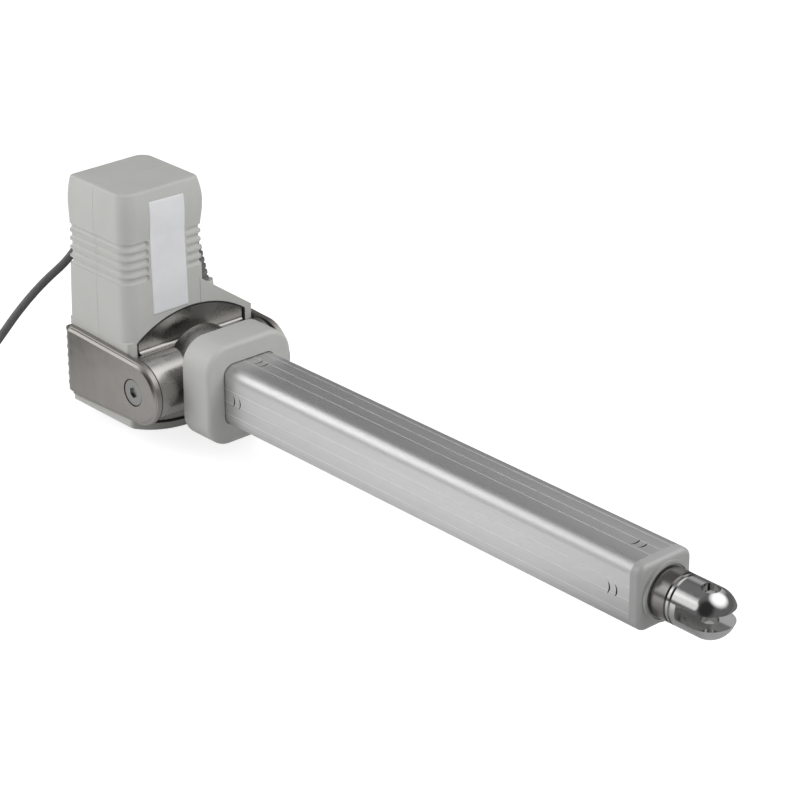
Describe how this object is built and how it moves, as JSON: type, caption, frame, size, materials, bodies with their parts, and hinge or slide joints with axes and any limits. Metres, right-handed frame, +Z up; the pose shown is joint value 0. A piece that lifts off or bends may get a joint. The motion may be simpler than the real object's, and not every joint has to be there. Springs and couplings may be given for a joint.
{
  "type": "electric linear actuator",
  "caption": "Electric linear actuator: upright ribbed motor tower, die-cast yoke, square ribbed tube and a push rod with forked mounting heads at both ends.",
  "frame": {"origin": "centre of the rear head's mounting bore, on the spindle's axis", "axes": "+X along the spindle towards the front fork, +Z up the motor tower and along both mounting bores, +Y to the left looking along +X"},
  "size_m": [0.6608, 0.2338, 0.166],
  "materials": {
    "cover_plastic": "fine satin moulding",
    "cast_alloy": "satin die-casting",
    "tube_alloy": "brushed and anodised",
    "chrome_steel": "polished",
    "steel": "ground",
    "core_steel": "bare",
    "bronze": "machined",
    "copper": "enamelled wire",
    "magnet": "ferrite",
    "dark_plastic": "moulded",
    "white_plastic": "moulded",
    "board": "coated",
    "seal_rubber": "matt",
    "cable_sheath": "matt"
  },
  "bodies": {
    "frame": {"front_cover": "cover_plastic", "rear_cover": "cover_plastic", "flange_gasket": "seal_rubber", "gear_housing": "cast_alloy", "gear_cover": "cast_alloy", "housing_screws": "steel", "rear_yoke": "cast_alloy", "yoke_bolts": "steel", "rear_head": "chrome_steel", "collar": "cover_plastic", "outer_tube": "tube_alloy", "end_cap": "cover_plastic", "guide_bush": "bronze", "wiper_seal": "seal_rubber", "limit_switch_board": "board", "limit_switches": "dark_plastic", "spindle_rear_bush": "bronze", "bearing_balls": "chrome_steel", "bearing_outer_ring": "steel", "motor_can": "steel", "motor_bush": "bronze", "motor_end_bell": "dark_plastic", "motor_magnets": "magnet", "brush_holder": "dark_plastic", "carbon_brushes": "magnet", "worm_bush": "bronze", "strain_relief": "seal_rubber", "cable_lead": "cable_sheath", "cable_coil": "cable_sheath", "cable_plug": "dark_plastic"},
    "push_rod": {"push_tube": "chrome_steel", "front_fork": "chrome_steel", "drive_nut": "bronze", "guide_ring": "white_plastic"},
    "spindle_set": {"spindle": "steel", "worm_wheel": "white_plastic", "lock_nut": "steel", "bearing_inner_ring": "steel"},
    "rotor": {"rotor_core": "core_steel", "rotor_windings": "copper", "commutator": "copper", "worm_shaft": "steel"}
  },
  "joints": [
    {"name": "push_slide", "type": "slide", "parent": "frame", "child": "push_rod", "axis": [1, 0, 0], "range_m": [0, 0.3]},
    {"name": "spindle_turn", "type": "hinge", "parent": "frame", "child": "spindle_set", "pos_m": [0, 0, 0], "axis": [1, 0, 0], "continuous": true},
    {"name": "rotor_turn", "type": "hinge", "parent": "frame", "child": "rotor", "pos_m": [0.0515, -0.02, 0], "axis": [0, 0, 1], "continuous": true}
  ],
  "couplings": [
    {"joint": "spindle_turn", "follows": "push_slide", "rad_per_m": -785.4},
    {"joint": "rotor_turn", "follows": "push_slide", "rad_per_m": -15708}
  ]
}
